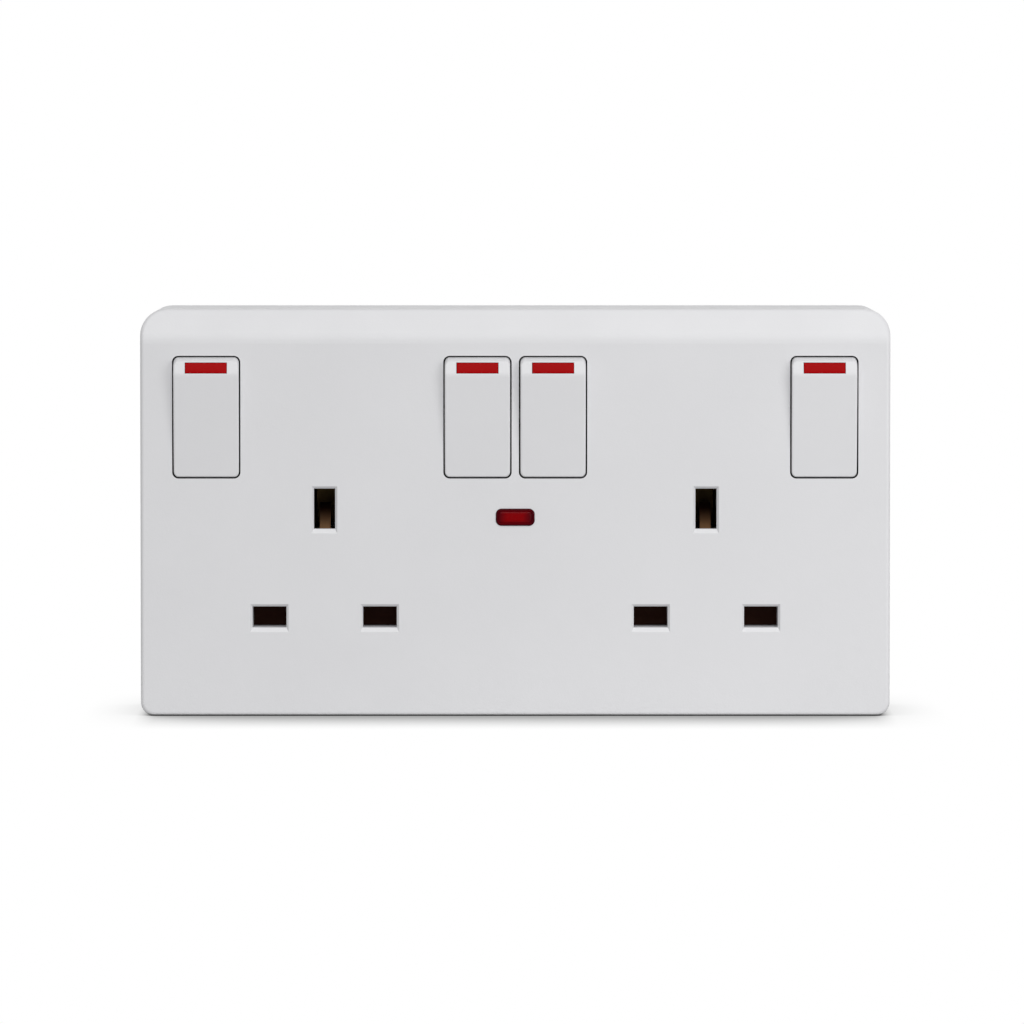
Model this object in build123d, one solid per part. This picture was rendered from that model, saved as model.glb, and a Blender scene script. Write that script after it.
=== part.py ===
from build123d import *
import os
from math import atan2, cos, radians, sin, sqrt, tan

# Twin switched extension socket. Millimetres, +Z up, the front faces -Y.
# The origin is at the middle of the base, half way through the depth.
# "Depth" below always means the distance behind the flat front face.

# Housing
width = 152.1
height = 82.6
cover_depth = 12.0
box_depth = 21.5
front_wall = 2.6
side_wall = 2.2
back_wall = 2.5
top_corner_radius = 5.3
bottom_corner_radius = 2.8
front_edge_radius = 0.8
rear_edge_radius = 1.2
parting_chamfer = 0.35
bevel_start = 7.0
bevel_blend_radius = 5.5
bevel_angle = 24.0

# Switches
outer_switch_inset = 13.4
inner_switch_x = 7.66
switch_from_top = 21.9
rocker_width = 13.25
rocker_height = 24.1
rocker_gap = 0.3
rocker_end_gap = 0.4
rocker_corner_radius = 1.0
rocker_edge_radius = 0.35
rocker_wall = 1.5
rocker_proud = 2.1
ridge_height = 8.7
ridge_radius = 2.5
top_edge_proud = 1.4
pivot_depth = 5.0
pivot_radius = 1.5
pivot_clearance = 0.05
pivot_engagement = 0.6
switch_throw = 12.0
well_wall = 1.2
well_depth = 8.5
rocker_skirt = 2.5
window_width = 8.45
window_height = 2.2
window_thickness = 0.9
window_clearance = 0.05

# Plunger inside each rocker
tube_radius = 3.0
tube_start = -5.6
tube_length = 11.6
plunger_radius = 1.85
plunger_clearance = 0.12
plunger_start = 1.5
plunger_tip = 9.7
plunger_spring_start = -3.0
plunger_spring_wire = 0.22
plunger_spring_turns = 4

# Pin apertures: line and neutral lie flat, earth stands upright
socket_x = 38.7
pin_spread = 11.2
pin_z = 20.1
earth_z = 42.1
pin_slot_width = 6.9
pin_slot_height = 4.3
earth_slot_width = 4.3
earth_slot_height = 8.2
slot_lead_depth = 0.5
slot_lead = 0.45
slot_lead_below = 0.9
collar_wall = 1.2

# Shutters
shutter_depth = 8.8
shutter_thickness = 2.0
shutter_gap = 0.3
shutter_arm_span = 30.4
shutter_arm_height = 5.3
shutter_stem_width = 6.0
shutter_corner = 1.0
ramp_width = 2.2
ramp_front = 5.5
ramp_rise = 5.3
ramp_slope = 49.0
ramp_gap = 0.35
ramp_neck = 1.5
ramp_root = 3.0
shutter_foot_height = 3.0
shutter_foot_depth = 2.9
shutter_spring_radius = 1.2
shutter_spring_wire = 0.25
shutter_spring_turns = 5
shutter_seat_z = 6.5

# Contact carrier behind the cover
carrier_thickness = 2.0
carrier_gap = 0.4
carrier_window_width = 10.8
carrier_pin_play = 0.2
carrier_post_radius = 3.2
busbar_post_radius = 2.6
busbar_post_near = 10.05
busbar_post_far = 17.0
clip_box_wall = 1.2
pin_box = (10.6, 11.0)
earth_box = (9.6, 13.0)
guide_width = 1.5
guide_height = 9.0
guide_rise = 9.5
pad_width = 1.4
pad_height = 11.0
pad_reach = 2.6
pad_drop = 2.0
spring_seat_height = 1.5
lead_hole_radius = 1.2

# Brass work
strip_thickness = 0.8
clip_thickness = 0.6
clip_width = 6.0
clip_grip = 2.0
clip_mouth = 3.3
clip_front = 14.8
clip_lead = 1.6
clip_land = 5.5
clip_tail = 3.2
clip_bend = 0.6
riser_depth = 24.0
riser_width = 5.0
riser_turn_z = 34.0
riser_bend = 2.5
hook_bend = 1.0
busbar_depth = 20.5
busbar_width = 2.5
line_bar_rise = 3.85
neutral_bar_drop = 9.15
earth_bar_depth = 26.0
earth_bar_width = 5.0
earth_bar_corner = 1.5
earth_clip_front = 15.0
earth_clip_mouth = 3.1
earth_clip_land = 6.0
earth_clip_tail = 3.0
earth_clip_height = 8.0
fixed_tab_drop = 7.4
hook_rise = 13.0
contact_gap = 0.2
moving_contact_depth = 15.0
moving_contact_half = 9.4
moving_contact_width = 5.0
moving_contact_corner = 1.2
knife_gap = 0.2
rivet_radius = 1.5
rivet_height = 0.7
rivet_offset = 8.0
rivet_shift = 0.4

# Terminals and cable entry
terminal_pitch = 12.5
terminal_z = 17.0
terminal_width = 7.0
terminal_height = 9.0
terminal_length = 6.0
terminal_corner = 0.5
terminal_screw_length = 3.0
terminal_wire_radius = 1.6
terminal_wire_stop = 1.0
cable_radius = 4.0
cable_z = 20.5
cable_depth = 23.5
grommet_radius = 6.0
grommet_flange_radius = 7.4
grommet_flange = 1.4
grommet_groove = 0.1
clamp_inset = 16.15
clamp_width = 6.0
clamp_thickness = 3.0
clamp_rise = 2.0
clamp_corner = 1.5
clamp_screw_length = 8.0
clamp_screw_offset = 8.5
clamp_play = 0.3

# Fasteners
cover_post_radius = 3.9
cover_screw_x = 35.0
cover_screw_from_top = 11.0
cover_screw_side_inset = 6.55
cover_screw_low_z = 8.6
carrier_screw_offset = 16.2
carrier_screw_low_x = 18.2
carrier_screw_low_z = 27.5
screw_radius = 1.5
screw_clearance = 0.1
screw_head_radius = 2.9
screw_head_height = 2.2
screw_recess_width = 0.5
head_clearance = 0.4
counterbore_depth = 11.5
cover_screw_length = 16.0
carrier_screw_length = 9.0
small_head_radius = 2.5
small_head_height = 1.8

# Holes in the back for fixing to a wall
wall_hole_spacing = 120.6
wall_hole_radius = 2.25
wall_hole_from_top = 6.1

# Neon indicator
neon_drop = 20.3
lens_width = 7.8
lens_height = 3.4
lens_corner = 1.1
lens_clearance = 0.05
lens_proud = 0.3
lens_edge = 0.3
lens_flange = 0.9
lens_flange_thickness = 1.0
lamp_radius = 2.0
lamp_length = 9.0
lamp_gap = 0.4
lead_radius = 0.3
lead_bend = 0.9
lead_gap = 0.05
resistor_radius = 1.2
resistor_length = 7.0
resistor_gap = 3.0
resistor_rise = 3.6
neutral_lead_x = 9.0
line_lead_turn = 2.5
line_lead_rise = 6.0

total_depth = cover_depth + box_depth + rocker_proud
body_depth = cover_depth + box_depth
face_y = rocker_proud - total_depth / 2
carrier_back = cover_depth + carrier_thickness
counterbore_floor = body_depth - counterbore_depth
hole_radius = screw_radius + screw_clearance
rocker_reach = sqrt((rocker_height / 2) ** 2 + pivot_depth ** 2)
well_reach = sqrt((rocker_height / 2 + rocker_end_gap) ** 2 + pivot_depth ** 2)
opening_width = rocker_width + 2 * rocker_gap
rest_tilt = switch_throw / 2
switch_z = height - switch_from_top
outer_switch_x = width / 2 - outer_switch_inset
neon_z = switch_z - neon_drop
line_bar_z = switch_z + line_bar_rise
neutral_bar_z = switch_z - neutral_bar_drop
hook_z = switch_z + hook_rise
knife_depth = moving_contact_depth + strip_thickness + knife_gap
contact_swing = (rivet_offset - rivet_shift + rivet_radius) * sin(radians(rest_tilt))
fixed_tab_depth = knife_depth - knife_gap + contact_swing + 2 * rivet_height + contact_gap
resistor_depth = busbar_depth - resistor_gap
resistor_z = neon_z + resistor_rise
clamp_x = width / 2 - clamp_inset
wall_hole_z = height - wall_hole_from_top
switch_places = {
    "far_left": -outer_switch_x,
    "mid_left": -inner_switch_x,
    "mid_right": inner_switch_x,
    "far_right": outer_switch_x,
}
pin_places = {
    "far_left": -socket_x - pin_spread,
    "mid_left": -socket_x + pin_spread,
    "mid_right": socket_x - pin_spread,
    "far_right": socket_x + pin_spread,
}
socket_places = {"left": -socket_x, "right": socket_x}
cover_screw_places = [
    (side * x, z)
    for side in (-1, 1)
    for x, z in (
        (cover_screw_x, height - cover_screw_from_top),
        (width / 2 - cover_screw_side_inset, cover_screw_low_z),
    )
]
carrier_screw_places = [
    (side * x, z)
    for side in (-1, 1)
    for x, z in (
        (outer_switch_x - carrier_screw_offset, switch_z),
        (carrier_screw_low_x, carrier_screw_low_z),
    )
]


def facing(depth):
    """Drawing plane across the front at a depth: X to the right, Z up."""
    return Plane(origin=(0, face_y + depth, 0), x_dir=(1, 0, 0), z_dir=(0, -1, 0))


def sideways(x):
    """Drawing plane through the side view: depth to the right, Z up."""
    return Plane(origin=(x, face_y, 0), x_dir=(0, 1, 0), z_dir=(1, 0, 0))


def slab(sketch, front, back):
    """A front-view sketch carried from one depth to another."""
    return extrude(facing(back) * sketch, amount=back - front)


def rib(sketch, x, thickness):
    """A side-view sketch, centred on x."""
    return extrude(sideways(x) * sketch, amount=thickness / 2, both=True)


def block(x, z, wide, high, front, back):
    """A rectangular block between two depths."""
    return slab(Pos(x, z) * Rectangle(wide, high), front, back)


def rod(x, z, radius, front, back):
    """A round rod along the depth."""
    return slab(Pos(x, z) * Circle(radius), front, back)


def bent_strip(points, thickness, bend, x, wide):
    """A strip of sheet brass that follows a path in the side view."""
    return rib(trace(FilletPolyline(*points, radius=bend), line_width=thickness), x, wide)


def rim_edges(shape, facing_y):
    """Edges round the faces whose outward normal looks to the given side."""
    front = [f for f in shape.faces() if f.normal_at().Y * facing_y > 0.5]
    edges = [e for f in front for e in f.edges()]
    return [e for e in edges if sum(e.is_same(other) for other in edges) == 1]


def screw(x, z, head_depth, length, head_radius, head_height):
    """A pan head screw that points to the front, with a cross recess."""
    head = rod(x, z, head_radius, head_depth, head_depth + head_height)
    head = fillet(head.edges().group_by(Axis.Y)[-1], head_height / 3)
    recess = Rectangle(head_radius, screw_recess_width) + Rectangle(screw_recess_width, head_radius)
    slots = slab(Pos(x, z) * recess, head_depth + head_height / 2, head_depth + head_height)
    shank = rod(x, z, screw_radius, head_depth - length, head_depth)
    shank = chamfer(shank.edges().group_by(Axis.Y)[0], screw_radius / 2)
    return head - slots + shank


def coil(x, depth, low, high, radius, wire, turns):
    """A compression spring standing along Z between two heights."""
    pitch = (high - low - 2 * wire) / turns
    path = Helix(pitch=pitch, height=high - low - 2 * wire, radius=radius)
    section = Plane(origin=path @ 0, z_dir=path % 0) * Circle(wire)
    spring = sweep(section, path=path)
    return Pos(x, face_y + depth, low + wire) * spring


# Housing shells
def housing_outline(inset):
    """Front view of the housing, with every side moved in by the inset."""
    shape = Pos(0, height / 2) * Rectangle(width - 2 * inset, height - 2 * inset)
    shape = fillet(shape.vertices().group_by(Axis.Y)[-1], top_corner_radius - inset)
    return fillet(shape.vertices().group_by(Axis.Y)[0], bottom_corner_radius - inset)


def cover_profile(front, top):
    """Side view of the cover: flat face, soft bend, then the bevel up to the top."""
    turn = radians(bevel_angle)
    radius = bevel_blend_radius - front
    bend = (front, height - bevel_start)
    bevel = (front + radius * (1 - cos(turn)), bend[1] + radius * sin(turn))
    crest = (bevel[0] + (top - bevel[1]) * tan(turn), top)
    outline = [
        Polyline((cover_depth, top), (cover_depth, 0), (front, 0), bend),
        TangentArc(bend, bevel, tangent=(0, 1)),
        Polyline(bevel, crest, (cover_depth, top)),
    ]
    return make_face([edge for part in outline for edge in part.edges()])


def cover_form(inset, front):
    """The solid cover, or the space inside it when inset."""
    return slab(housing_outline(inset), front, cover_depth) & rib(
        cover_profile(front, height - inset), 0, width
    )


def pin_slot(x, z, wide, high, back):
    """Cutter for a pin aperture with a sloping lead-in, widest along its lower edge."""
    mouth_high = high + slot_lead + slot_lead_below
    mouth_z = z + (slot_lead - slot_lead_below) / 2
    throat = facing(slot_lead_depth) * Pos(x, z) * Rectangle(wide, high)
    mouth = facing(0) * Pos(x, mouth_z) * Rectangle(wide + 2 * slot_lead, mouth_high)
    return loft([throat, mouth]) + block(x, z, wide, high, slot_lead_depth, back)


def switch_opening(x):
    """Cutter for a rocker: its ends open out behind the face to follow the swing."""
    inner_high = 2 * sqrt(well_reach ** 2 - (pivot_depth - front_wall) ** 2)
    corner = rocker_corner_radius + rocker_gap
    front_high = rocker_height + 2 * rocker_end_gap
    at_face = facing(0) * Pos(x, switch_z) * RectangleRounded(opening_width, front_high, corner)
    inside = facing(front_wall) * Pos(x, switch_z) * RectangleRounded(opening_width, inner_high, corner)
    well = block(x, switch_z, opening_width, 2 * well_reach, front_wall, cover_depth)
    return loft([inside, at_face]) + well


def front_cover():
    outer = cover_form(0, 0)
    outer = fillet(rim_edges(outer, -1), front_edge_radius)
    outer = chamfer(outer.edges().group_by(Axis.Y)[-1], parting_chamfer)
    cover = outer - cover_form(side_wall, front_wall)
    for x in switch_places.values():
        cover += block(
            x, switch_z, opening_width + 2 * well_wall, 2 * (well_reach + well_wall), front_wall, well_depth
        )
    for x in pin_places.values():
        cover += block(
            x, pin_z, pin_slot_width + 2 * collar_wall, pin_slot_height + 2 * collar_wall,
            front_wall, shutter_depth - shutter_gap,
        )
    for x, z in cover_screw_places:
        cover += rod(x, z, cover_post_radius, front_wall / 2, cover_depth) & outer
    for x, z in carrier_screw_places:
        cover += rod(x, z, carrier_post_radius, front_wall / 2, cover_depth)
    for x in switch_places.values():
        cover -= switch_opening(x)
        cover -= rib(
            Pos(pivot_depth, switch_z) * Circle(pivot_radius + pivot_clearance),
            x, opening_width + 3 * well_wall,
        )
    for x in pin_places.values():
        cover -= pin_slot(x, pin_z, pin_slot_width, pin_slot_height, shutter_depth)
    for x in socket_places.values():
        cover -= pin_slot(x, earth_z, earth_slot_width, earth_slot_height, front_wall)
    lens_hole = RectangleRounded(
        lens_width + 2 * lens_clearance, lens_height + 2 * lens_clearance, lens_corner + lens_clearance
    )
    cover -= slab(Pos(0, neon_z) * lens_hole, -1, front_wall)
    for x, z in cover_screw_places:
        cover -= rod(x, z, hole_radius, counterbore_floor - cover_screw_length, cover_depth)
    for x, z in carrier_screw_places:
        cover -= rod(x, z, hole_radius, carrier_back - carrier_screw_length, cover_depth)
    return cover


def back_box():
    shell = slab(housing_outline(0), cover_depth, body_depth)
    shell = fillet(shell.edges().group_by(Axis.Y)[-1], rear_edge_radius)
    shell = chamfer(shell.edges().group_by(Axis.Y)[0], parting_chamfer)
    box = shell - slab(housing_outline(side_wall), cover_depth, body_depth - back_wall)
    for x, z in cover_screw_places:
        box += rod(x, z, cover_post_radius, cover_depth, body_depth - back_wall / 2) & shell
    clamp_saddle = cable_depth + cable_radius + clamp_play
    box += block(-clamp_x, cable_z, clamp_width, 2 * cable_radius, clamp_saddle, body_depth - back_wall / 2)
    for z in (cable_z - clamp_screw_offset, cable_z + clamp_screw_offset):
        box += rod(-clamp_x, z, clamp_width / 2, cable_depth, body_depth - back_wall / 2) & shell
        box -= rod(-clamp_x, z, hole_radius, cable_depth, body_depth - back_wall)
    for x, z in cover_screw_places:
        box -= rod(x, z, hole_radius, cover_depth, body_depth)
        box -= rod(x, z, screw_head_radius + head_clearance, counterbore_floor, body_depth)
    for x in (-wall_hole_spacing / 2, wall_hole_spacing / 2):
        box -= rod(x, wall_hole_z, wall_hole_radius, body_depth - 2 * back_wall, body_depth)
    cable_hole = Pos(cable_depth, cable_z) * Circle(grommet_radius + grommet_groove)
    box -= rib(cable_hole, -width / 2, 4 * side_wall)
    return box


# Switches
def about_pivot(shape, angle):
    """Turn a switch piece about the rocker's pivot."""
    return shape.rotate(Axis((0, face_y + pivot_depth, switch_z), (1, 0, 0)), angle)


def rocker_corners():
    """Side-view corners of the rocker in its ON position: heel, ridge and top edge."""
    heel = (0, switch_z - rocker_height / 2)
    ridge = (-rocker_proud, switch_z + ridge_height)
    edge_rise = sqrt(rocker_reach ** 2 - (pivot_depth + top_edge_proud) ** 2)
    edge = (-top_edge_proud, switch_z + edge_rise)
    return heel, ridge, edge


def rocker_profile():
    """Side view of the rocker: two facets, with both ends round about the pivot."""
    heel, ridge, edge = rocker_corners()
    skirt_rise = sqrt(rocker_reach ** 2 - rocker_skirt ** 2)
    high = (pivot_depth + rocker_skirt, switch_z + skirt_rise)
    low = (pivot_depth + rocker_skirt, switch_z - skirt_rise)
    outline = [
        Polyline(heel, ridge, edge),
        ThreePointArc(edge, (pivot_depth, switch_z + rocker_reach), high),
        Line(high, low),
        ThreePointArc(low, (pivot_depth, switch_z - rocker_reach), heel),
    ]
    return make_face([edge for part in outline for edge in part.edges()])


def facet_plane(x):
    """Plane on the rocker's upper facet, at the middle of its window."""
    _, ridge, edge = rocker_corners()
    tilt = atan2(edge[0] - ridge[0], edge[1] - ridge[1])
    middle = ((ridge[0] + edge[0]) / 2, (ridge[1] + edge[1]) / 2)
    return Plane(
        origin=(x, face_y + middle[0], middle[1]),
        x_dir=(1, 0, 0),
        z_dir=(0, -cos(tilt), sin(tilt)),
    )


def rocker(x):
    profile = rocker_profile()
    body = rib(profile, x, rocker_width)
    ends = [
        e for e in body.edges().filter_by(GeomType.CIRCLE) if abs(e.radius - rocker_reach) < 0.01
    ]
    body = fillet(ends, rocker_corner_radius)
    body = fillet(rim_edges(body, -1), rocker_edge_radius)
    crest = [
        e for e in body.edges().filter_by(Axis.X) if abs(e.center().Y - (face_y - rocker_proud)) < 0.01
    ]
    body = fillet(crest, ridge_radius)
    core = offset(profile, -rocker_wall)
    body -= rib(core + Pos(2 * rocker_wall, 0) * core, x, rocker_width - 2 * rocker_wall)
    tube = rod(x, switch_z, tube_radius, pivot_depth + tube_start, pivot_depth + tube_start + tube_length)
    bore_radius = plunger_radius + plunger_clearance
    bore = rod(x, switch_z, bore_radius, pivot_depth + plunger_spring_start, pivot_depth + plunger_tip)
    body += about_pivot(tube, rest_tilt)
    body -= about_pivot(bore, rest_tilt)
    stub = rocker_gap + pivot_engagement
    for side in (-1, 1):
        body += rib(
            Pos(pivot_depth, switch_z) * Circle(pivot_radius),
            x + side * (rocker_width / 2 + (stub - rocker_wall) / 2),
            stub + rocker_wall,
        )
    pocket = Rectangle(window_width + 2 * window_clearance, window_height + 2 * window_clearance)
    body -= extrude(facet_plane(x) * pocket, amount=window_thickness, both=True)
    return body


def rocker_window(x):
    return extrude(facet_plane(x) * Rectangle(window_width, window_height), amount=-window_thickness)


def plunger(x):
    """Spring-loaded pin with a round nose that drives the moving contact."""
    radius = plunger_radius
    shoulder = (radius, plunger_tip - radius)
    half = make_face([
        *Polyline((0, plunger_tip), (0, plunger_start), (radius, plunger_start), shoulder).edges(),
        *RadiusArc(shoulder, (0, plunger_tip), -radius).edges(),
    ])
    upright = revolve(Plane.XY * half, Axis.Y)
    return about_pivot(Pos(x, face_y + pivot_depth, switch_z) * upright, rest_tilt)


def plunger_spring(x):
    length = plunger_start - plunger_spring_start
    radius = plunger_radius - plunger_spring_wire
    upright = coil(0, -face_y, 0, length, radius, plunger_spring_wire, plunger_spring_turns)
    laid = Rot(-90, 0, 0) * upright
    return about_pivot(Pos(x, face_y + pivot_depth + plunger_spring_start, switch_z) * laid, rest_tilt)


def moving_contact(x):
    """Brass see-saw on a knife edge, with a domed rivet that meets the fixed contact."""
    back = moving_contact_depth + strip_thickness
    half = moving_contact_half
    blade = block(x, switch_z, moving_contact_width, 2 * half, moving_contact_depth, back)
    blade = fillet(blade.edges().filter_by(Axis.Y), moving_contact_corner)
    dome = rod(x, switch_z + rivet_offset - rivet_shift, rivet_radius, back, back + rivet_height)
    dome = fillet(dome.edges().group_by(Axis.Y)[-1], rivet_height * 0.9)
    axis = Axis((0, face_y + knife_depth, switch_z), (1, 0, 0))
    return (blade + dome).rotate(axis, -rest_tilt)


# Shutters
def shutter(x):
    """Blade over both flat apertures, with a ramp that the earth pin pushes down."""
    back = shutter_depth + shutter_thickness
    arm_low = pin_z - shutter_arm_height / 2
    ramp_low = earth_z - earth_slot_height / 2 - ramp_gap
    ramp_back = ramp_front + ramp_rise * tan(radians(ramp_slope))
    blade = Pos(x, pin_z) * RectangleRounded(shutter_arm_span, shutter_arm_height, shutter_corner)
    stem_high = ramp_low - shutter_gap - pin_z
    blade += Pos(x, pin_z + stem_high / 2) * Rectangle(shutter_stem_width, stem_high)
    body = slab(blade, shutter_depth, back)
    ramp = Polygon(
        (ramp_front, ramp_low), (ramp_back, ramp_low + ramp_rise), (ramp_back, ramp_low - ramp_root),
        (back, ramp_low - 2 * ramp_root), (shutter_depth, ramp_low - 2 * ramp_root),
        (ramp_front, ramp_low - ramp_neck),
        align=None,
    )
    body += rib(ramp, x, ramp_width)
    foot_z = arm_low + shutter_foot_height / 2
    foot_back = shutter_depth + shutter_foot_depth
    return body + block(x, foot_z, shutter_stem_width, shutter_foot_height, shutter_depth, foot_back)


def shutter_spring(x):
    high = pin_z - shutter_arm_height / 2
    depth = shutter_depth + shutter_foot_depth / 2
    radius = shutter_spring_radius
    return coil(x, depth, shutter_seat_z, high, radius, shutter_spring_wire, shutter_spring_turns)


# Contact carrier
def shutter_guides(x):
    """Ribs beside the shutter's stem, pads behind its arms and the seat of its spring."""
    stem_edge = shutter_stem_width / 2 + shutter_gap
    seat_mid = shutter_seat_z - spring_seat_height / 2
    rib_front = shutter_depth + shutter_gap
    guides = block(x, seat_mid, shutter_stem_width + 2, spring_seat_height, rib_front, cover_depth)
    for side in (-1, 1):
        rib_x = x + side * (stem_edge + guide_width / 2)
        guides += block(rib_x, pin_z + guide_rise, guide_width, guide_height, rib_front, cover_depth)
        pad_x = x + side * (stem_edge + pad_reach)
        guides += block(
            pad_x, pin_z - pad_drop, pad_width, pad_height, rib_front + shutter_thickness, cover_depth
        )
    return guides


def contact_carrier():
    plate = slab(housing_outline(side_wall + carrier_gap), cover_depth, carrier_back)
    for x in socket_places.values():
        plate += shutter_guides(x)
        plate += block(x, earth_z, *earth_box, carrier_back, earth_bar_depth)
    for x in pin_places.values():
        plate += block(x, pin_z, *pin_box, carrier_back, riser_depth)
    for x, z in busbar_posts():
        plate += rod(x, z, busbar_post_radius, carrier_back, busbar_depth)
    play = 2 * carrier_pin_play
    walls = 2 * clip_box_wall
    for x in pin_places.values():
        plate -= block(x, pin_z, pin_box[0] - walls, pin_box[1] - walls, carrier_back, riser_depth)
        plate -= block(x, pin_z, pin_slot_width + play, pin_slot_height + play, cover_depth, carrier_back)
    slot = (earth_slot_width + play, earth_slot_height + play)
    for x in socket_places.values():
        plate -= block(x, earth_z, earth_box[0] - walls, earth_box[1] - walls, carrier_back, earth_bar_depth)
        plate -= block(x, earth_z, *slot, cover_depth, carrier_back)
    for x in switch_places.values():
        plate -= block(x, switch_z, carrier_window_width, 2 * well_reach, cover_depth, carrier_back)
    for x, z in cover_screw_places:
        plate -= rod(x, z, cover_post_radius + carrier_gap, cover_depth, carrier_back)
    for x, z in carrier_screw_places:
        plate -= rod(x, z, hole_radius, cover_depth, carrier_back)
    for x in (-neutral_lead_x, terminal_pitch):
        plate -= rod(x, neon_z, lead_hole_radius, cover_depth, carrier_back)
    return plate


def busbar_posts():
    """Places where the two busbars rest on the carrier."""
    places = (outer_switch_x - busbar_post_near, inner_switch_x + busbar_post_far)
    return [(x, line_bar_z) for x in places] + [(-x, neutral_bar_z) for x in places]


# Brass work
def pin_contact(place):
    """Spring clip for one flat pin, with its riser and the fixed switch contact."""
    pin_x = pin_places[place]
    switch_x = switch_places[place]
    web = riser_depth + strip_thickness / 2
    leaves = []
    for side in (-1, 1):
        path = [
            (clip_front, pin_z + side * clip_mouth),
            (clip_front + clip_lead, pin_z + side * (clip_grip + clip_thickness / 2)),
            (clip_front + clip_land, pin_z + side * (clip_grip + clip_thickness / 2)),
            (web, pin_z + side * clip_tail),
            (web, pin_z),
        ]
        leaves.append(bent_strip(path, clip_thickness, clip_bend, pin_x, clip_width))
    turn_high = riser_turn_z + abs(switch_x - pin_x) / 2
    route = FilletPolyline(
        (pin_x, pin_z - clip_width / 2), (pin_x, riser_turn_z), (switch_x, turn_high), (switch_x, hook_z),
        radius=riser_bend,
    )
    riser = slab(trace(route, line_width=riser_width), riser_depth, riser_depth + strip_thickness)
    tab = fixed_tab_depth + strip_thickness / 2
    hook = bent_strip(
        [(web, hook_z - 2 * hook_bend), (web, hook_z), (tab, hook_z), (tab, hook_z - fixed_tab_drop)],
        strip_thickness, hook_bend, switch_x, riser_width,
    )
    rivet_front = fixed_tab_depth - rivet_height
    rivet = rod(switch_x, switch_z + rivet_offset, rivet_radius, rivet_front, fixed_tab_depth)
    return leaves[0] + leaves[1] + riser + hook + rivet


def busbar(bar_z, near_switch, far_switch, terminal_x):
    """Supply bar with a knife edge under two moving contacts and a tail to its terminal."""
    bar_back = busbar_depth + strip_thickness
    ends = sorted((near_switch, far_switch, terminal_x))
    low = ends[0] - busbar_width / 2
    high = ends[-1] + busbar_width / 2
    bar = block((low + high) / 2, bar_z, high - low, busbar_width, busbar_depth, bar_back)
    for x in (near_switch, far_switch):
        reach = (bar_z + switch_z) / 2
        span = abs(bar_z - switch_z) + strip_thickness
        bar += block(x, reach, busbar_width, span, busbar_depth, bar_back)
        shelf = block(x, switch_z, moving_contact_width, strip_thickness, knife_depth, bar_back)
        bar += fillet(shelf.edges().filter_by(Axis.X).group_by(Axis.Y)[0], strip_thickness * 0.45)
    tail_low = terminal_z - terminal_height / 2
    bar += block(terminal_x, (tail_low + bar_z) / 2, busbar_width, bar_z - tail_low, busbar_depth, bar_back)
    return bar


def earth_contact(x):
    """Two leaves that grip the sides of the earth pin."""
    web = earth_bar_depth - clip_thickness / 2
    plan = Plane(origin=(x, face_y, earth_z), x_dir=(1, 0, 0), z_dir=(0, 0, 1))
    leaves = []
    for side in (-1, 1):
        path = [
            (side * earth_clip_mouth, earth_clip_front),
            (side * (clip_grip + clip_thickness / 2), earth_clip_front + clip_lead),
            (side * (clip_grip + clip_thickness / 2), earth_clip_front + earth_clip_land),
            (side * earth_clip_tail, web),
            (0, web),
        ]
        section = trace(FilletPolyline(*path, radius=clip_bend), line_width=clip_thickness)
        leaves.append(extrude(plan * section, amount=earth_clip_height / 2, both=True))
    return leaves[0] + leaves[1]


def earth_bar():
    bar_back = earth_bar_depth + strip_thickness
    bar = block(0, earth_z, 2 * socket_x + earth_bar_width, earth_bar_width, earth_bar_depth, bar_back)
    bar = fillet(bar.edges().filter_by(Axis.Y), earth_bar_corner)
    tail_low = terminal_z - terminal_height / 2
    tail_mid = (tail_low + earth_z) / 2
    bar += block(0, tail_mid, earth_bar_width, earth_z - tail_low, earth_bar_depth, bar_back)
    return bar - rod(0, terminal_z, hole_radius, earth_bar_depth, bar_back)


def terminal(x, front, back):
    """Brass block with a wire hole from below and a clamping screw from behind."""
    body = block(x, terminal_z, terminal_width, terminal_height, front, back)
    body = fillet(body.edges().filter_by(Axis.Z), terminal_corner)
    middle = face_y + (front + back) / 2
    wire = Pos(x, middle, terminal_z - terminal_height / 2) * Cylinder(
        terminal_wire_radius, terminal_height, align=(Align.CENTER, Align.CENTER, Align.MIN)
    )
    body -= wire & block(x, terminal_z - terminal_wire_stop, terminal_width, terminal_height, front, back)
    return body - rod(x, terminal_z, hole_radius, (front + back) / 2, back)


# Cable entry
def cable_grommet():
    """Ring in the side wall, flush outside, with a flange inside the wall."""
    wall_x = -width / 2 + side_wall / 2
    ring = rib(Pos(cable_depth, cable_z) * Circle(grommet_radius), wall_x, side_wall)
    flange_x = -width / 2 + side_wall + grommet_flange / 2
    ring += rib(Pos(cable_depth, cable_z) * Circle(grommet_flange_radius), flange_x, grommet_flange)
    ring -= rib(Pos(cable_depth, cable_z) * Circle(cable_radius), -width / 2, 6 * side_wall)
    return ring


def cord_clamp():
    """Bar that presses the cable onto its saddle, arched over the cable."""
    back = cable_depth
    front = back - clamp_thickness
    crown = front - clamp_rise
    bar = block(-clamp_x, cable_z, clamp_width, 2 * clamp_screw_offset + clamp_width, crown, back)
    bar = fillet(bar.edges().filter_by(Axis.Y), clamp_corner)
    bar -= rib(Pos(cable_depth, cable_z) * Circle(cable_radius + clamp_play), -clamp_x, 2 * clamp_width)
    for z in (cable_z - clamp_screw_offset, cable_z + clamp_screw_offset):
        bar -= rod(-clamp_x, z, hole_radius, crown, back)
        bar -= rod(-clamp_x, z, small_head_radius + 2 * screw_clearance, crown, front)
    return bar


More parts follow.
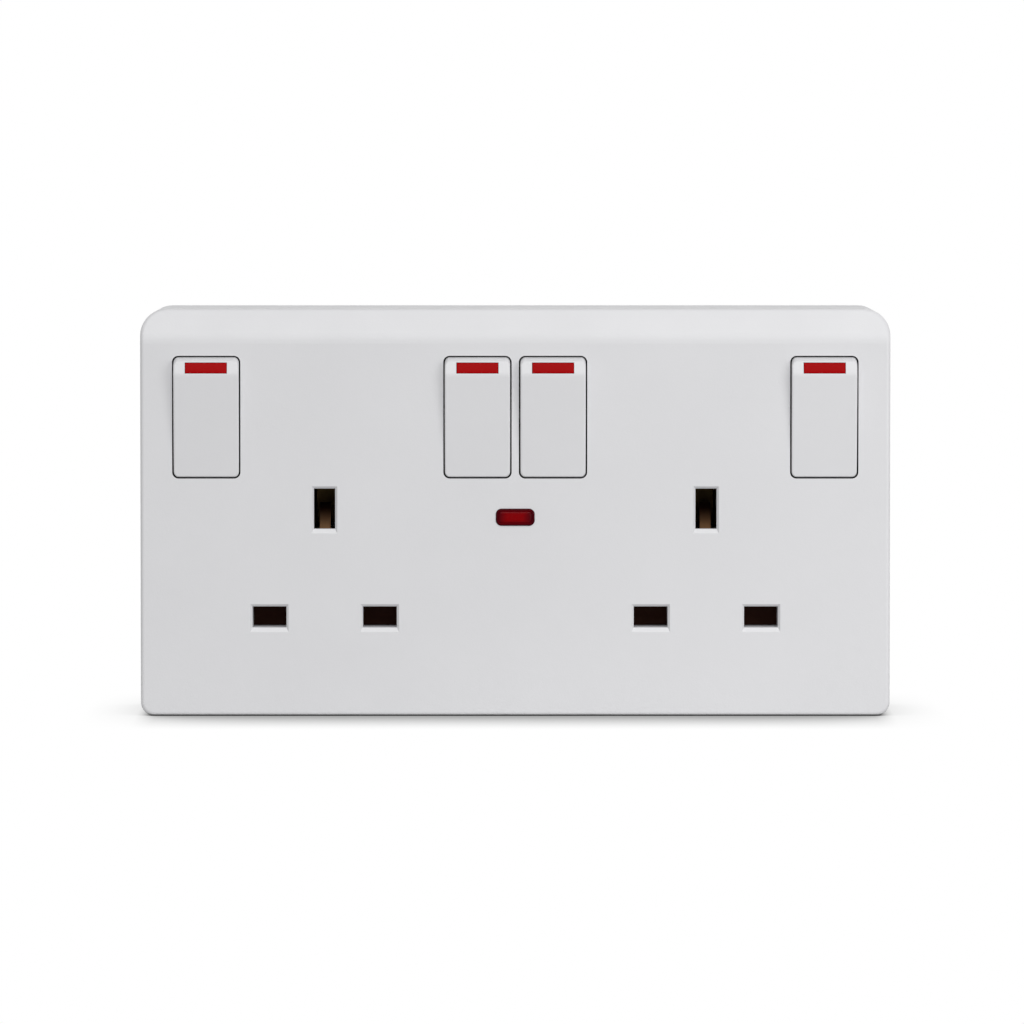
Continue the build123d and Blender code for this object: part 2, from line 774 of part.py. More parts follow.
def clamp_screw(offset):
    """Screw through the clamp, its head to the front."""
    front = cable_depth - clamp_thickness
    turned = screw(0, 0, 0, clamp_screw_length, small_head_radius, small_head_height)
    flipped = Pos(0, -face_y, 0) * turned
    flipped = Rot(180, 0, 0) * flipped
    return Pos(-clamp_x, face_y + front, cable_z + offset) * flipped


# Neon indicator
def neon_lens():
    """Red window, a little proud of the face, held by a flange behind it."""
    shape = RectangleRounded(lens_width, lens_height, lens_corner)
    lens = slab(Pos(0, neon_z) * shape, -lens_proud, front_wall)
    lens = fillet(lens.edges().group_by(Axis.Y)[0], lens_edge)
    flange = RectangleRounded(lens_width + 2 * lens_flange, lens_height + 2 * lens_flange, lens_corner)
    lens += slab(Pos(0, neon_z) * flange, front_wall, front_wall + lens_flange_thickness)
    return lens


def lamp_depth():
    return front_wall + lens_flange_thickness + lamp_gap + lamp_radius


def neon_lamp():
    lamp = rib(Pos(lamp_depth(), neon_z) * Circle(lamp_radius), 0, lamp_length)
    return fillet(lamp.edges(), lamp_radius * 0.6)


def neon_resistor():
    body = Pos(terminal_pitch, face_y + resistor_depth, resistor_z) * Cylinder(
        resistor_radius, resistor_length, align=(Align.CENTER, Align.CENTER, Align.MIN)
    )
    return fillet(body.edges(), resistor_radius / 3)


def lead(points):
    """A round wire through points given as X, depth, Z."""
    route = FilletPolyline(*[(x, face_y + depth, z) for x, depth, z in points], radius=lead_bend)
    return sweep(Plane(origin=route @ 0, z_dir=route % 0) * Circle(lead_radius), path=route)


def neon_leads():
    lamp_end = lamp_length / 2
    bar_front = busbar_depth - lead_radius - lead_gap
    neutral = lead([
        (-lamp_end, lamp_depth(), neon_z), (-neutral_lead_x, lamp_depth(), neon_z),
        (-neutral_lead_x, bar_front, neon_z), (-neutral_lead_x, bar_front, neutral_bar_z),
    ])
    to_resistor = lead([
        (lamp_end, lamp_depth(), neon_z), (terminal_pitch, lamp_depth(), neon_z),
        (terminal_pitch, resistor_depth, neon_z), (terminal_pitch, resistor_depth, resistor_z),
    ])
    resistor_top = resistor_z + resistor_length
    turn_z = resistor_top + line_lead_turn
    to_line = lead([
        (terminal_pitch, resistor_depth, resistor_top), (terminal_pitch, resistor_depth, turn_z),
        (terminal_pitch, bar_front, turn_z), (terminal_pitch, bar_front, resistor_top + line_lead_rise),
    ])
    return Compound(children=[neutral, to_resistor, to_line])


def build():
    pieces = {
        "front_cover": front_cover(),
        "back_box": back_box(),
        "contact_carrier": contact_carrier(),
        "cover_screws": Compound(children=[
            screw(x, z, counterbore_floor, cover_screw_length, screw_head_radius, screw_head_height)
            for x, z in cover_screw_places
        ]),
        "carrier_screws": Compound(children=[
            screw(x, z, carrier_back, carrier_screw_length, small_head_radius, small_head_height)
            for x, z in carrier_screw_places
        ]),
        "cable_grommet": cable_grommet(),
        "cord_clamp": cord_clamp(),
        "clamp_screws": Compound(children=[
            clamp_screw(offset) for offset in (-clamp_screw_offset, clamp_screw_offset)
        ]),
        "line_busbar": busbar(line_bar_z, -inner_switch_x, outer_switch_x, terminal_pitch),
        "neutral_busbar": busbar(neutral_bar_z, inner_switch_x, -outer_switch_x, -terminal_pitch),
        "earth_bar": earth_bar(),
        "neon_lens": neon_lens(),
        "neon_lamp": neon_lamp(),
        "neon_resistor": neon_resistor(),
        "neon_leads": neon_leads(),
    }
    bar_back = busbar_depth + strip_thickness
    pieces["line_terminal"] = terminal(terminal_pitch, bar_back, bar_back + terminal_length)
    pieces["neutral_terminal"] = terminal(-terminal_pitch, bar_back, bar_back + terminal_length)
    pieces["earth_terminal"] = terminal(0, earth_bar_depth - terminal_length, earth_bar_depth)
    heads = {
        -terminal_pitch: bar_back + terminal_length,
        0: earth_bar_depth + strip_thickness,
        terminal_pitch: bar_back + terminal_length,
    }
    pieces["terminal_screws"] = Compound(children=[
        screw(x, terminal_z, head, terminal_screw_length, small_head_radius, small_head_height)
        for x, head in heads.items()
    ])
    for side, x in socket_places.items():
        pieces[f"shutter_{side}"] = shutter(x)
        pieces[f"shutter_spring_{side}"] = shutter_spring(x)
        pieces[f"earth_contact_{side}"] = earth_contact(x)
    for place, x in switch_places.items():
        pieces[f"rocker_{place}"] = rocker(x)
        pieces[f"rocker_window_{place}"] = rocker_window(x)
        pieces[f"plunger_{place}"] = plunger(x)
        pieces[f"plunger_spring_{place}"] = plunger_spring(x)
        pieces[f"moving_contact_{place}"] = moving_contact(x)
        pieces[f"pin_contact_{place}"] = pin_contact(place)
    return pieces


os.makedirs("parts", exist_ok=True)
for name, shape in build().items():
    export_step(shape, f"parts/{name}.step")
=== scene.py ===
from math import atan2, cos, pi, radians, sin, sqrt

import bmesh
import bpy
from mathutils import Matrix, Vector


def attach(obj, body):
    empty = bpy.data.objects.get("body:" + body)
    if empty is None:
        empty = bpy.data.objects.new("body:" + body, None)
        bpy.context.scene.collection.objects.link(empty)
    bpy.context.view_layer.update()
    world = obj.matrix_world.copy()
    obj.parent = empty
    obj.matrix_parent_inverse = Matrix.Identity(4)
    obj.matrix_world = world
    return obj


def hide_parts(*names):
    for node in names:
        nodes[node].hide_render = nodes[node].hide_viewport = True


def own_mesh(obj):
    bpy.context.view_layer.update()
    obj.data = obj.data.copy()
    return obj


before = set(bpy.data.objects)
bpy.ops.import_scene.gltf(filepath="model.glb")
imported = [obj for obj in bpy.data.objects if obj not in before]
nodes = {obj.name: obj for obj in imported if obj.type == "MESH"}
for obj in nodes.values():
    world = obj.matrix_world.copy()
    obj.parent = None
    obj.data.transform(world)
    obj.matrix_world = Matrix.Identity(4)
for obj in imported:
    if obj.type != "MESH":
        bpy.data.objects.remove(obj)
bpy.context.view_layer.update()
scene = bpy.context.scene
MM = 0.001

# Sizes of the housing and its switches, as the solids have them
WIDTH = 152.1 * MM
HEIGHT = 82.6 * MM
FACE_Y = -15.7 * MM
PIVOT_DEPTH = 5.0 * MM
ROCKER_HEIGHT = 24.1 * MM
ROCKER_PROUD = 2.1 * MM
TOP_EDGE_PROUD = 1.4 * MM
RIDGE_HEIGHT = 8.7 * MM
SWITCH_Z = HEIGHT - 21.9 * MM
OUTER_X = WIDTH / 2 - 13.4 * MM
INNER_X = 7.66 * MM
SWITCH_PLACES = {"far_left": -OUTER_X, "mid_left": -INNER_X, "mid_right": INNER_X, "far_right": OUTER_X}
WINDOW_SIZE = (8.45 * MM, 2.2 * MM)
WINDOW_THICKNESS = 0.9 * MM
LENS_Z = SWITCH_Z - 20.3 * MM
LENS_SIZE = (7.8 * MM, 3.4 * MM)
LENS_CORNER = 1.1 * MM
LENS_PROUD = 0.3 * MM
FRONT_WALL = 2.6 * MM
FLANGE = 0.9 * MM
FLANGE_THICKNESS = 1.0 * MM
RAMP_LOW = 37.6 * MM

# Camera
CAMERA_DISTANCE = 1.6
CAMERA_ELEVATION = radians(2.9)
CAMERA_AIM = Vector((-0.66 * MM, FACE_Y, 41.46 * MM))
SENSOR = 36.0
NEAR_CLIP = 0.02
PIXELS_PER_METRE = 4930.0
IMAGE_PIXELS = 1024

# Light
KEY_STRENGTH = 1.45
KEY_ELEVATION = radians(40)
KEY_AZIMUTH = radians(2)
KEY_SOFTNESS = radians(45)
FILL_PLACE = Vector((0.40, -0.42, 0.12))
FILL_WATTS = 0.9
FILL_SIZE = 0.3
AMBIENT = 0.33
FLOOR_LIT = 0.6
CONTACT_REACH = 36 * MM
CONTACT_DEPTH = 1.3
SIDE_SHARE = 0.28
SIDE_REACH = 12 * MM
FLOOR_RADIUS = 6.0


# Node helpers
def place(tree, kind, **sockets):
    """A node with its inputs set; a linked output is given as a socket."""
    node = tree.nodes.new(kind)
    for name, value in sockets.items():
        put(tree, node.inputs[name.replace("_", " ")], value)
    return node


def put(tree, socket, value):
    if isinstance(value, bpy.types.NodeSocket):
        tree.links.new(value, socket)
    else:
        socket.default_value = value


def maths(tree, operation, *values):
    node = tree.nodes.new("ShaderNodeMath")
    node.operation = operation
    for socket, value in zip(node.inputs, values):
        put(tree, socket, value)
    return node.outputs[0]


def mix_colour(tree, factor, first, second):
    node = tree.nodes.new("ShaderNodeMix")
    node.data_type = "RGBA"
    put(tree, node.inputs[0], factor)
    put(tree, node.inputs[6], first)
    put(tree, node.inputs[7], second)
    return node.outputs[2]


def spread(tree, value, low, high, new_low, new_high):
    """Maps a value from one range to another, held at both ends."""
    node = tree.nodes.new("ShaderNodeMapRange")
    for socket, number in zip(node.inputs, (value, low, high, new_low, new_high)):
        put(tree, socket, number)
    return node.outputs[0]


def grey(value):
    return (value, value, value, 1.0)


def new_group(name, inputs, outputs):
    """An empty shader group with its sockets, and its two end nodes."""
    group = bpy.data.node_groups.new(name, "ShaderNodeTree")
    for socket_name, default in inputs.items():
        socket = group.interface.new_socket(socket_name, in_out="INPUT", socket_type="NodeSocketFloat")
        socket.default_value = default
    for socket_name in outputs:
        group.interface.new_socket(socket_name, in_out="OUTPUT", socket_type="NodeSocketFloat")
    start = group.nodes.new("NodeGroupInput")
    end = group.nodes.new("NodeGroupOutput")
    return group, start, end


def object_place(tree):
    return tree.nodes.new("ShaderNodeTexCoord").outputs["Object"]


def noise(tree, vector, scale, detail, roughness=0.5):
    node = place(tree, "ShaderNodeTexNoise", Vector=vector, Scale=scale, Detail=detail, Roughness=roughness)
    return node.outputs[0]


# Colours inside the finishes
WINDOW_REDS = ((0.325, 0.0015, 0.0025, 1), (0.39, 0.0025, 0.0035, 1))
LENS_RIM_RED = (0.055, 0.0, 0.003, 1)
# lighter red of the painted glow in the lens middle
LENS_PAINTED_GLOW_RED = (0.22, 0.0, 0.0015, 1)
BLADE_BROWNS = ((0.024, 0.007, 0.004, 1), (0.034, 0.011, 0.006, 1))
# paler browns of the painted light band on the shutter ramp
PAINTED_LIT_BROWNS = ((0.23, 0.118, 0.055, 1), (0.29, 0.158, 0.080, 1))
GLASS_TINTS = ((0.95, 0.9, 0.86, 1), (0.75, 0.55, 0.45, 1))


# Shared effects
def make_moulding():
    """Moulded plastic skin: fine spark grain, slow sink marks and a cloudy tone."""
    group, start, end = new_group(
        "moulded skin", {"Grain Scale": 2600.0, "Flow Scale": 30.0, "Sink": 0.4}, ("Height", "Tone", "Polish")
    )
    here = object_place(group)
    grain = noise(group, here, start.outputs["Grain Scale"], 2.0)
    flow = noise(group, here, start.outputs["Flow Scale"], 3.0)
    slow = maths(group, "MULTIPLY", flow, start.outputs["Sink"])
    put(group, end.inputs["Height"], maths(group, "ADD", grain, slow))
    put(group, end.inputs["Tone"], spread(group, flow, 0.3, 0.7, 0.0, 1.0))
    blotch = noise(group, here, 90.0, 4.0, 0.6)
    put(group, end.inputs["Polish"], spread(group, blotch, 0.3, 0.7, 0.0, 1.0))
    return group


def make_brushing():
    """Rolled sheet metal: streaks along X, with a patchy tarnish."""
    group, start, end = new_group(
        "rolled metal", {"Streak Scale": 900.0, "Patch Scale": 120.0}, ("Height", "Tarnish")
    )
    here = object_place(group)
    stretch = place(group, "ShaderNodeVectorMath", Vector=here)
    stretch.operation = "MULTIPLY"
    stretch.inputs[1].default_value = (0.08, 1.0, 1.0)
    streaks = noise(group, stretch.outputs[0], start.outputs["Streak Scale"], 3.0)
    patches = noise(group, here, start.outputs["Patch Scale"], 4.0, 0.6)
    put(group, end.inputs["Height"], streaks)
    put(group, end.inputs["Tarnish"], spread(group, patches, 0.35, 0.75, 0.0, 1.0))
    return group


def make_seam_shade():
    """Painted shade in narrow gaps, where little light gets in; open faces and corners stay clear."""
    group, start, end = new_group("painted seam shade", {"Reach": 1.2 * MM}, ("Seam",))
    around = place(group, "ShaderNodeAmbientOcclusion", Distance=start.outputs["Reach"])
    around.samples = 8
    closed = maths(group, "SUBTRACT", 1.0, around.outputs["AO"])
    put(group, end.inputs["Seam"], spread(group, closed, 0.55, 0.85, 0.0, 1.0))
    return group


MOULDING = make_moulding()
BRUSHING = make_brushing()
SEAM_SHADE = make_seam_shade()


def use_group(tree, group, **sockets):
    node = tree.nodes.new("ShaderNodeGroup")
    node.node_tree = group
    for name, value in sockets.items():
        put(tree, node.inputs[name.replace("_", " ")], value)
    return node


def start_material(name):
    material = bpy.data.materials.new(name)
    material.use_nodes = True
    tree = material.node_tree
    shader = tree.nodes["Principled BSDF"]
    return material, tree, shader


def set_bump(tree, shader, height, depth, strength=1.0):
    bump = place(tree, "ShaderNodeBump", Height=height, Distance=depth, Strength=strength)
    put(tree, shader.inputs["Normal"], bump.outputs[0])


def plastic(name, light, dark, gloss=(0.4, 0.5), grain=2600.0, bump=0.012, level=0.4, seam_shade_tone=None):
    """Moulded plastic: two close shades, a roughness that wanders, a fine grain and, when a tone is given,
    painted shade in narrow gaps.
    """
    material, tree, shader = start_material(name)
    skin = use_group(tree, MOULDING, Grain_Scale=grain)
    colour = mix_colour(tree, skin.outputs["Tone"], (*dark, 1), (*light, 1))
    if seam_shade_tone is not None:
        # painted shade: narrow gaps darkened towards the given tone by occlusion
        colour = mix_colour(tree, use_group(tree, SEAM_SHADE).outputs["Seam"], colour, grey(seam_shade_tone))
    put(tree, shader.inputs["Base Color"], colour)
    put(tree, shader.inputs["Roughness"], spread(tree, skin.outputs["Polish"], 0.0, 1.0, *gloss))
    shader.inputs["Specular IOR Level"].default_value = level
    set_bump(tree, shader, skin.outputs["Height"], bump * MM)
    return material


def metal(name, bright, dull, gloss=(0.22, 0.4), streaks=900.0, bump=0.01):
    """Bare metal with rolling streaks and a thin tarnish."""
    material, tree, shader = start_material(name)
    skin = use_group(tree, BRUSHING, Streak_Scale=streaks)
    tarnish = skin.outputs["Tarnish"]
    put(tree, shader.inputs["Base Color"], mix_colour(tree, tarnish, (*bright, 1), (*dull, 1)))
    put(tree, shader.inputs["Roughness"], spread(tree, tarnish, 0.0, 1.0, *gloss))
    shader.inputs["Metallic"].default_value = 1.0
    set_bump(tree, shader, skin.outputs["Height"], bump * MM)
    return material


def window_red():
    """Red moulding with a slight mottle and little gloss."""
    material, tree, shader = start_material("window red")
    skin = use_group(tree, MOULDING, Grain_Scale=1400.0)
    red = mix_colour(tree, skin.outputs["Tone"], *WINDOW_REDS)
    put(tree, shader.inputs["Base Color"], red)
    shader.inputs["Roughness"].default_value = 0.25
    shader.inputs["Specular IOR Level"].default_value = 0.025
    set_bump(tree, shader, skin.outputs["Height"], 0.008 * MM)
    return material


def lens_red():
    """Dark red lens with a painted glow: the crown is painted lighter, as if lit through from behind, and the
    rim keeps the dark red.
    """
    material, tree, shader = start_material("lens red")
    here = place(tree, "ShaderNodeSeparateXYZ", Vector=object_place(tree))
    across = maths(tree, "ABSOLUTE", maths(tree, "MULTIPLY", here.outputs["X"], 1 / (LENS_SIZE[0] / 2)))
    lifted = maths(tree, "SUBTRACT", here.outputs["Z"], LENS_Z)
    upright = maths(tree, "ABSOLUTE", maths(tree, "MULTIPLY", lifted, 1 / (LENS_SIZE[1] / 2)))
    reach = maths(tree, "MAXIMUM", across, upright)
    skin = use_group(tree, MOULDING, Grain_Scale=1200.0, Flow_Scale=260.0)
    ragged = maths(tree, "ADD", reach, maths(tree, "MULTIPLY", skin.outputs["Tone"], 0.16))
    # painted glow: a lighter red towards the middle of the lens, darker red at the rim
    painted_glow = spread(tree, ragged, 0.45, 0.98, 1.0, 0.0)
    red = mix_colour(tree, painted_glow, LENS_RIM_RED, LENS_PAINTED_GLOW_RED)
    put(tree, shader.inputs["Base Color"], red)
    shader.inputs["Roughness"].default_value = 0.14
    shader.inputs["Specular IOR Level"].default_value = 0.04
    set_bump(tree, shader, skin.outputs["Height"], 0.006 * MM)
    return material


def shutter_finish():
    """Dark brown moulding; a band on the ramp is painted paler, as if lit by light falling into the earth
    slot.
    """
    material, tree, shader = start_material("shutter brown")
    skin = use_group(tree, MOULDING, Grain_Scale=2200.0)
    here = place(tree, "ShaderNodeSeparateXYZ", Vector=object_place(tree))
    blade = mix_colour(tree, skin.outputs["Tone"], *BLADE_BROWNS)
    painted_lit = mix_colour(tree, skin.outputs["Tone"], *PAINTED_LIT_BROWNS)
    # painted light: a paler band up the ramp, from RAMP_LOW to a few millimetres above it
    started = spread(tree, here.outputs["Z"], RAMP_LOW - 1.0 * MM, RAMP_LOW, 0.0, 1.0)
    fading = spread(tree, here.outputs["Z"], RAMP_LOW + 0.8 * MM, RAMP_LOW + 4.2 * MM, 1.0, 0.0)
    painted_lit_band = maths(tree, "MULTIPLY", started, fading)
    put(tree, shader.inputs["Base Color"], mix_colour(tree, painted_lit_band, blade, painted_lit))
    put(tree, shader.inputs["Roughness"], spread(tree, skin.outputs["Polish"], 0.0, 1.0, 0.5, 0.65))
    shader.inputs["Specular IOR Level"].default_value = 0.06
    set_bump(tree, shader, skin.outputs["Height"], 0.01 * MM)
    return material


def lamp_glass():
    """Thin glass with a faint warm metal deposit inside."""
    material, tree, shader = start_material("lamp glass")
    skin = use_group(tree, BRUSHING, Streak_Scale=400.0)
    tint = mix_colour(tree, skin.outputs["Tarnish"], *GLASS_TINTS)
    put(tree, shader.inputs["Base Color"], tint)
    shader.inputs["Roughness"].default_value = 0.05
    shader.inputs["Transmission Weight"].default_value = 0.8
    return material


WHITE = ((0.735, 0.735, 0.75), (0.715, 0.715, 0.73))
OFF_WHITE = ((0.62, 0.60, 0.55), (0.55, 0.53, 0.48))
DARK_BROWN = ((0.035, 0.020, 0.014), (0.022, 0.012, 0.009))
BRASS = ((0.30, 0.20, 0.085), (0.14, 0.09, 0.045))
STEEL = ((0.62, 0.62, 0.63), (0.42, 0.41, 0.40))
# colour of the painted shade in narrow gaps
SEAM_SHADE_TONE = 0.04
RUBBER_GREY = ((0.42, 0.42, 0.43), (0.36, 0.36, 0.37))
RESISTOR_TAN = ((0.55, 0.42, 0.24), (0.47, 0.35, 0.19))
TIN = ((0.72, 0.72, 0.72), (0.5, 0.5, 0.5))

cover_plastic = plastic("cover plastic", *WHITE, seam_shade_tone=SEAM_SHADE_TONE)
box_plastic = plastic("box plastic", *WHITE, gloss=(0.45, 0.55))
rocker_plastic = plastic(
    "rocker plastic", *WHITE, gloss=(0.34, 0.44), grain=3200.0, bump=0.008, seam_shade_tone=SEAM_SHADE_TONE
)
carrier_plastic = plastic("carrier plastic", *DARK_BROWN, gloss=(0.5, 0.65), level=0.2)
plunger_plastic = plastic("plunger plastic", *OFF_WHITE, gloss=(0.5, 0.65))
clamp_plastic = plastic("clamp plastic", *OFF_WHITE, gloss=(0.45, 0.6))
shutter_brown = shutter_finish()
grommet_rubber = plastic("grommet rubber", *RUBBER_GREY, gloss=(0.6, 0.8), grain=1800.0, bump=0.02)
contact_brass = metal("contact brass", *BRASS, gloss=(0.5, 0.7))
screw_steel = metal("screw steel", *STEEL, gloss=(0.25, 0.45))
spring_steel = metal("spring steel", *STEEL, gloss=(0.2, 0.35), streaks=1500.0)
tinned_wire = metal("tinned wire", *TIN)
resistor_body = plastic("resistor body", *RESISTOR_TAN, gloss=(0.3, 0.4), grain=1500.0)
glass = lamp_glass()
red_window = window_red()
red_lens = lens_red()

FINISHES = {
    "front_cover": cover_plastic, "back_box": box_plastic, "contact_carrier": carrier_plastic,
    "cover_screws": screw_steel, "carrier_screws": screw_steel, "clamp_screws": screw_steel,
    "terminal_screws": screw_steel, "cable_grommet": grommet_rubber, "cord_clamp": clamp_plastic,
    "line_busbar": contact_brass, "neutral_busbar": contact_brass, "earth_bar": contact_brass,
    "line_terminal": contact_brass, "neutral_terminal": contact_brass, "earth_terminal": contact_brass,
    "neon_lens": red_lens, "neon_lamp": glass, "neon_resistor": resistor_body, "neon_leads": tinned_wire,
    "shutter": shutter_brown, "shutter_spring": spring_steel, "earth_contact": contact_brass,
    "rocker": rocker_plastic, "rocker_window": red_window, "plunger": plunger_plastic,
    "plunger_spring": spring_steel, "moving_contact": contact_brass, "pin_contact": contact_brass,
}


def finish_of(name):
    """The finish of a solid, by its own name or by the longest family name that starts it."""
    family = max((key for key in FINISHES if name.startswith(key)), key=len)
    return FINISHES[family]


def dress(obj, material):
    if obj.data.materials:
        for number in range(len(obj.data.materials)):
            obj.data.materials[number] = material
    else:
        obj.data.materials.append(material)


for name, solid in nodes.items():
    dress(solid, finish_of(name))


# Mesh helpers
def rounded_ring(wide, high, corner, steps=8):
    """Points round a rectangle with round corners, in its own plane."""
    corner = max(corner, 0.02 * MM)
    points = []
    for quarter, (side_x, side_y) in enumerate(((1, 1), (-1, 1), (-1, -1), (1, -1))):
        centre = (side_x * (wide / 2 - corner), side_y * (high / 2 - corner))
        for step in range(steps + 1):
            turn = (quarter + step / steps) * pi / 2
            points.append((centre[0] + corner * cos(turn), centre[1] + corner * sin(turn)))
    return points


def stacked_rings(name, size, corner, levels, steps=8):
    """A closed form from rings of a rounded rectangle; a level is its inset and its height."""
    mesh = bmesh.new()
    rings = []
    for inset, rise in levels:
        ring = rounded_ring(size[0] - 2 * inset, size[1] - 2 * inset, corner - inset, steps)
        rings.append([mesh.verts.new((x, y, rise)) for x, y in ring])
    count = len(rings[0])
    for lower, upper in zip(rings, rings[1:]):
        for i in range(count):
            j = (i + 1) % count
            mesh.faces.new((lower[i], lower[j], upper[j], upper[i]))
    mesh.faces.new(list(reversed(rings[0])))
    mesh.faces.new(rings[-1])
    data = bpy.data.meshes.new(name)
    bmesh.ops.recalc_face_normals(mesh, faces=mesh.faces[:])
    mesh.to_mesh(data)
    mesh.free()
    obj = bpy.data.objects.new(name, data)
    scene.collection.objects.link(obj)
    return obj


def smooth(obj, angle=radians(32)):
    for face in obj.data.polygons:
        face.use_smooth = True
    obj.data.set_sharp_from_angle(angle=angle)


def facing_matrix(x, y, z, tilt=0.0):
    """Places a flat form, drawn in X and Y and rising along Z, on the front face."""
    out = Vector((0, -cos(tilt), sin(tilt)))
    up = Vector((0, sin(tilt), cos(tilt)))
    right = Vector((1, 0, 0))
    turn = Matrix((right, up, out)).transposed().to_4x4()
    return Matrix.Translation((x, y, z)) @ turn


def settle(obj, matrix):
    obj.data.transform(matrix)
    obj.data.update()


# Rocker windows
def facet():
    """Middle and tilt of a rocker's upper facet."""
    reach = sqrt((ROCKER_HEIGHT / 2) ** 2 + PIVOT_DEPTH ** 2)
    rise = sqrt(reach ** 2 - (PIVOT_DEPTH + TOP_EDGE_PROUD) ** 2)
    ridge = (FACE_Y - ROCKER_PROUD, SWITCH_Z + RIDGE_HEIGHT)
    edge = (FACE_Y - TOP_EDGE_PROUD, SWITCH_Z + rise)
    tilt = atan2(edge[0] - ridge[0], edge[1] - ridge[1])
    return (ridge[0] + edge[0]) / 2, (ridge[1] + edge[1]) / 2, tilt


def make_window(place_name, x):
    """A crowned red insert with an eased rim, pressed into the rocker's pocket."""
    levels = [
        (0.0, -WINDOW_THICKNESS),
        (0.0, -0.08 * MM), (0.02 * MM, -0.03 * MM), (0.07 * MM, 0.01 * MM),
        (0.16 * MM, 0.03 * MM), (0.45 * MM, 0.06 * MM), (0.9 * MM, 0.075 * MM),
    ]
    window = stacked_rings("window_insert_" + place_name, WINDOW_SIZE, 0.15 * MM, levels, steps=4)
    middle_y, middle_z, tilt = facet()
    settle(window, facing_matrix(x, middle_y, middle_z, tilt))
    smooth(window)
    window.data.materials.append(red_window)
    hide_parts("rocker_window_" + place_name)
    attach(window, "switch_" + place_name)


for place_name, x in SWITCH_PLACES.items():
    make_window(place_name, x)


# Neon lens
def make_lens():
    """A flanged lens with a flat rim, a fine step and a crowned middle."""
    back = FRONT_WALL + FLANGE_THICKNESS
    levels = [
        (-FLANGE, -back), (-FLANGE, -FRONT_WALL), (0.0, -FRONT_WALL), (0.0, 0.12 * MM),
        (0.03 * MM, 0.21 * MM), (0.09 * MM, 0.27 * MM), (0.18 * MM, LENS_PROUD),
        (0.42 * MM, LENS_PROUD), (0.50 * MM, 0.18 * MM), (0.56 * MM, 0.18 * MM),
        (0.66 * MM, 0.27 * MM), (0.85 * MM, 0.33 * MM), (1.05 * MM, 0.35 * MM), (1.35 * MM, 0.36 * MM),
    ]
    lens = stacked_rings("neon_lens_moulding", LENS_SIZE, LENS_CORNER, levels, steps=10)
    settle(lens, facing_matrix(0, FACE_Y, LENS_Z))
    smooth(lens)
    lens.data.materials.append(red_lens)
    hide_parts("neon_lens")
    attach(lens, "housing")


make_lens()


# Shutter return springs
def make_spring(side):
    """A copy of a shutter's return spring, held by the housing in place of the hidden solid."""
    solid = nodes["shutter_spring_" + side]
    spring = bpy.data.objects.new("return_spring_" + side, solid.data.copy())
    scene.collection.objects.link(spring)
    settle(spring, solid.matrix_world)
    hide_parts("shutter_spring_" + side)
    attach(spring, "housing")
    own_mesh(spring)


for side in ("left", "right"):
    make_spring(side)


# Camera
def make_camera():
    data = bpy.data.cameras.new("camera")
    data.sensor_width = SENSOR
    data.lens = PIXELS_PER_METRE * CAMERA_DISTANCE * SENSOR / IMAGE_PIXELS
    data.clip_start = NEAR_CLIP
    camera = bpy.data.objects.new("camera", data)
    away = Vector((0, -cos(CAMERA_ELEVATION), sin(CAMERA_ELEVATION)))
    camera.location = CAMERA_AIM + away * CAMERA_DISTANCE
    camera.rotation_euler = (-away).to_track_quat("-Z", "Y").to_euler()
    scene.collection.objects.link(camera)
    scene.camera = camera


make_camera()


# Light and floor
def make_key():
    data = bpy.data.lights.new("key", "SUN")
    data.energy = KEY_STRENGTH
    data.angle = KEY_SOFTNESS
    lamp = bpy.data.objects.new("key", data)
    towards = Vector((
        sin(KEY_AZIMUTH) * cos(KEY_ELEVATION), -cos(KEY_AZIMUTH) * cos(KEY_ELEVATION), sin(KEY_ELEVATION)
    ))
    lamp.rotation_euler = towards.to_track_quat("Z", "Y").to_euler()
    scene.collection.objects.link(lamp)


def make_fill():
    """A small soft panel to the right, which lifts the right half of the front a little."""
    data = bpy.data.lights.new("fill", "AREA")
    data.energy = FILL_WATTS
    data.size = FILL_SIZE
    panel = bpy.data.objects.new("fill", data)
    panel.location = FILL_PLACE
    panel.rotation_euler = FILL_PLACE.to_track_quat("Z", "Y").to_euler()
    scene.collection.objects.link(panel)


def seen_directly(tree):
    """One for rays from the camera, mirrors and glass, which see the plain white studio."""
    path = tree.nodes.new("ShaderNodeLightPath")
    seen = maths(tree, "MAXIMUM", path.outputs["Is Camera Ray"], path.outputs["Is Glossy Ray"])
    return maths(tree, "MAXIMUM", seen, path.outputs["Is Transmission Ray"])


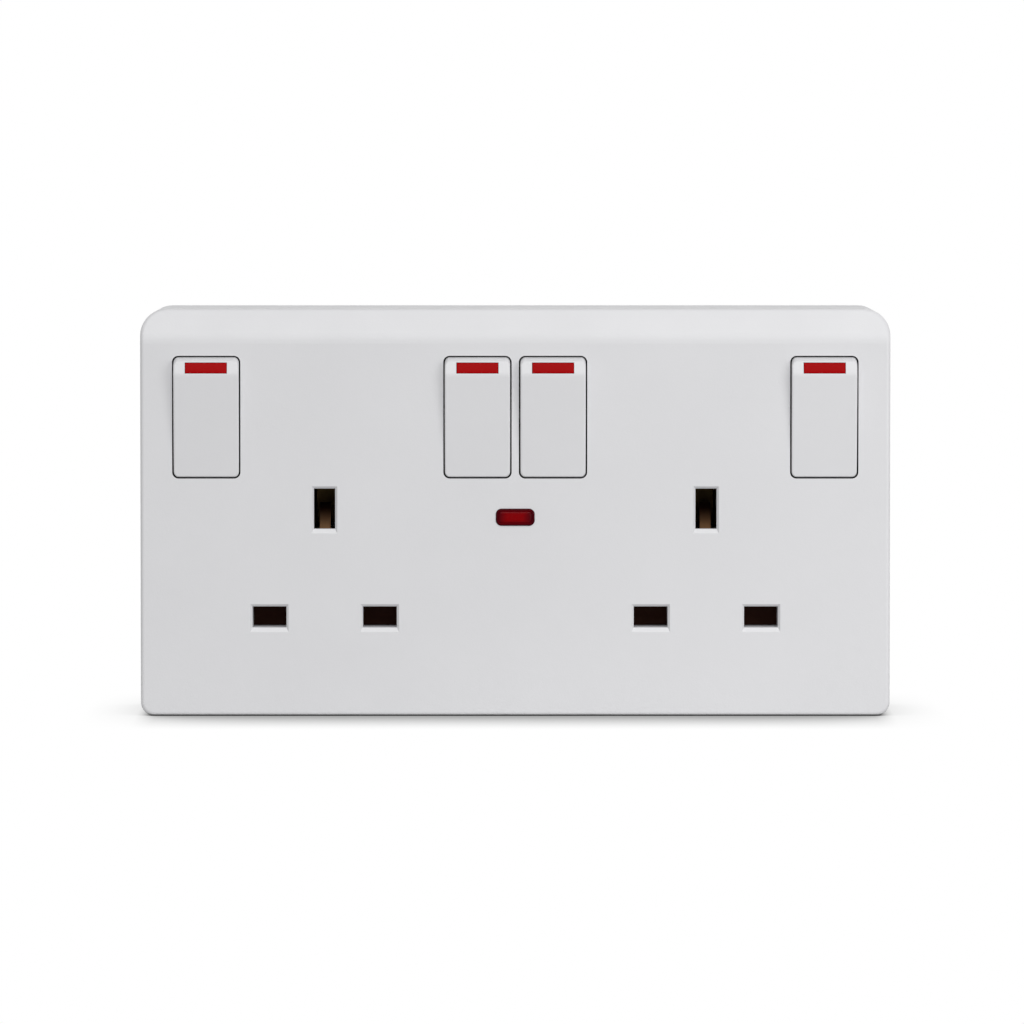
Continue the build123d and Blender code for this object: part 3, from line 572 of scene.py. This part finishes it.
def make_world():
    world = bpy.data.worlds.new("studio")
    scene.world = world
    world.use_nodes = True
    tree = world.node_tree
    background = tree.nodes["Background"]
    background.inputs["Color"].default_value = grey(1.0)
    put(tree, background.inputs["Strength"], spread(tree, seen_directly(tree), 0.0, 1.0, AMBIENT, 1.0))


def contact_shade(tree):
    """Painted contact shadow: white, darker on the floor close to the housing and only faintly so beside its
    ends.
    """
    open_air = place(tree, "ShaderNodeAmbientOcclusion", Distance=CONTACT_REACH)
    open_air.samples = 24
    covered = maths(tree, "SUBTRACT", 1.0, open_air.outputs["AO"])
    here = place(tree, "ShaderNodeSeparateXYZ", Vector=object_place(tree))
    out = maths(tree, "SUBTRACT", maths(tree, "ABSOLUTE", here.outputs["X"]), WIDTH / 2)
    beside = spread(tree, out, -3 * MM, 1 * MM, 1.0, SIDE_SHARE)
    beside = maths(tree, "MULTIPLY", beside, spread(tree, out, 0.0, SIDE_REACH, 1.0, 0.0))
    dark = maths(tree, "MULTIPLY", maths(tree, "MULTIPLY", covered, CONTACT_DEPTH), beside)
    return mix_colour(tree, dark, grey(1.0), grey(0.0))


def make_floor():
    mesh = bmesh.new()
    bmesh.ops.create_circle(mesh, cap_ends=True, segments=96, radius=FLOOR_RADIUS)
    data = bpy.data.meshes.new("floor")
    mesh.to_mesh(data)
    mesh.free()
    floor = bpy.data.objects.new("floor", data)
    scene.collection.objects.link(floor)
    material = bpy.data.materials.new("pale floor")
    material.use_nodes = True
    tree = material.node_tree
    tree.nodes.remove(tree.nodes["Principled BSDF"])
    lit = place(tree, "ShaderNodeBsdfDiffuse", Color=grey(FLOOR_LIT))
    shown = place(tree, "ShaderNodeEmission", Color=contact_shade(tree))
    mix = tree.nodes.new("ShaderNodeMixShader")
    put(tree, mix.inputs[0], seen_directly(tree))
    put(tree, mix.inputs[1], lit.outputs[0])
    put(tree, mix.inputs[2], shown.outputs[0])
    put(tree, tree.nodes["Material Output"].inputs["Surface"], mix.outputs[0])
    data.materials.append(material)


make_key()
make_fill()
make_world()
make_floor()

scene.view_settings.view_transform = "Standard"
